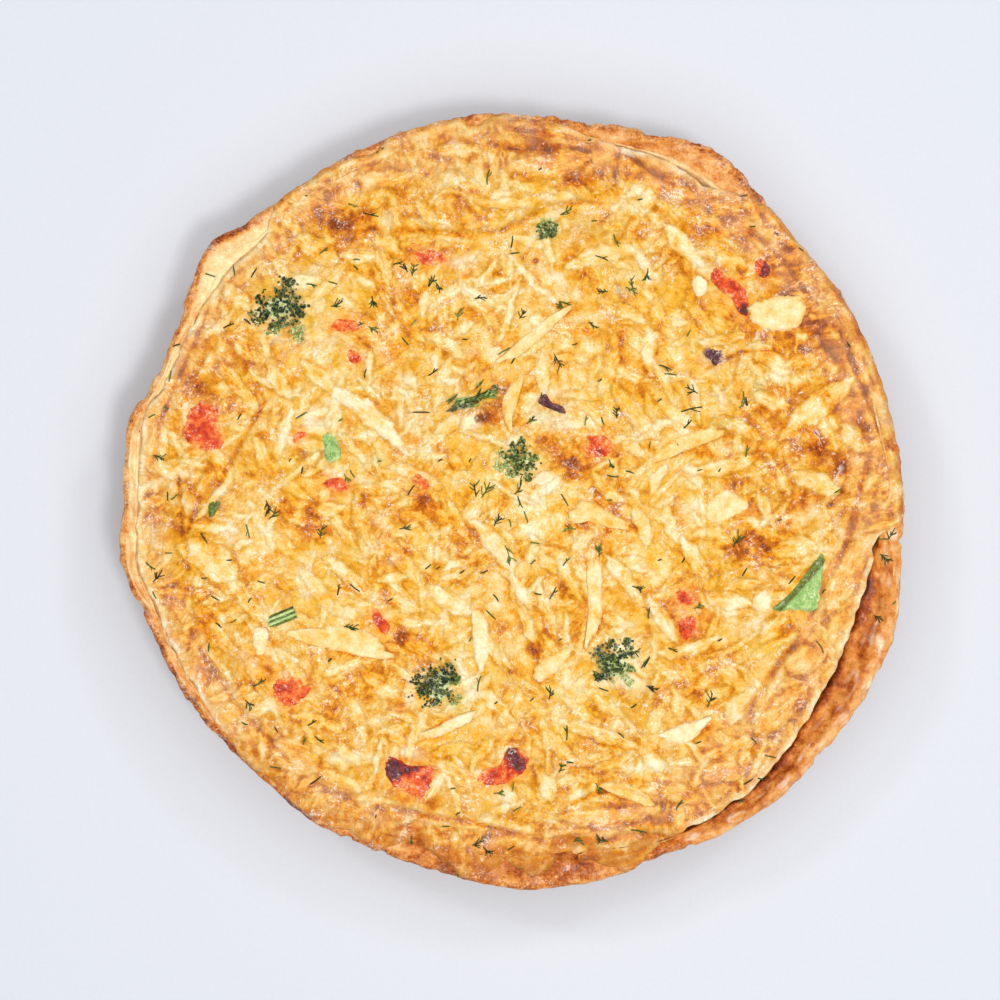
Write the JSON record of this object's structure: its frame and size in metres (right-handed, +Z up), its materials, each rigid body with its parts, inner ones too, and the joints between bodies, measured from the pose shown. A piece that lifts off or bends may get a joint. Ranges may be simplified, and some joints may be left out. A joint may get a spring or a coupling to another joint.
{
  "type": "quiche",
  "caption": "Round whole baked quiche: a thin browned pastry case with an uneven rim, filled with egg custard, cheese strands and pieces of vegetable.",
  "frame": {"origin": "centre of the quiche's outline, on the flat underside that it rests on", "axes": "+Z up through the thickness; +Y towards the top edge of the picture and +X to its right, seen from above"},
  "size_m": [0.2401, 0.2378, 0.0377],
  "materials": {
    "crust": "baked pastry, dull with a glossy buttery rim",
    "custard": "baked egg and cheese, satin",
    "red_pepper": "soft roasted skin, glossy",
    "olive": "dark skin, satin",
    "cheese": "melted cheese, satin",
    "broccoli": "rough buds",
    "green_pepper": "soft green skin, glossy",
    "spring_onion": "soft leaf, satin",
    "herb": "dry leaf"
  },
  "bodies": {
    "root": {"pastry_case": "crust", "filling": "custard", "broccoli_1": "broccoli", "broccoli_2": "broccoli", "broccoli_3": "broccoli", "broccoli_4": "broccoli", "broccoli_5": "broccoli", "cheese_01": "cheese", "cheese_02": "cheese", "cheese_03": "cheese", "cheese_04": "cheese", "cheese_05": "cheese", "cheese_06": "cheese", "cheese_07": "cheese", "cheese_08": "cheese", "cheese_09": "cheese", "cheese_10": "cheese", "cheese_11": "cheese", "cheese_12": "cheese", "cheese_13": "cheese", "cheese_14": "cheese", "cheese_15": "cheese", "cheese_16": "cheese", "cheese_17": "cheese", "olive_1": "olive", "olive_2": "olive", "parsley_leaf": "herb", "pepper_green_1": "green_pepper", "pepper_green_2": "green_pepper", "pepper_green_3": "green_pepper", "pepper_red_01": "red_pepper", "pepper_red_02": "red_pepper", "pepper_red_03": "red_pepper", "pepper_red_04": "red_pepper", "pepper_red_05": "red_pepper", "pepper_red_06": "red_pepper", "pepper_red_07": "red_pepper", "pepper_red_08": "red_pepper", "pepper_red_09": "red_pepper", "pepper_red_10": "red_pepper", "pepper_red_11": "red_pepper", "pepper_red_12": "red_pepper", "pepper_red_13": "red_pepper", "pepper_red_14": "red_pepper", "pepper_red_15": "red_pepper", "pepper_red_16": "red_pepper", "spring_onion": "spring_onion"}
  },
  "joints": []
}
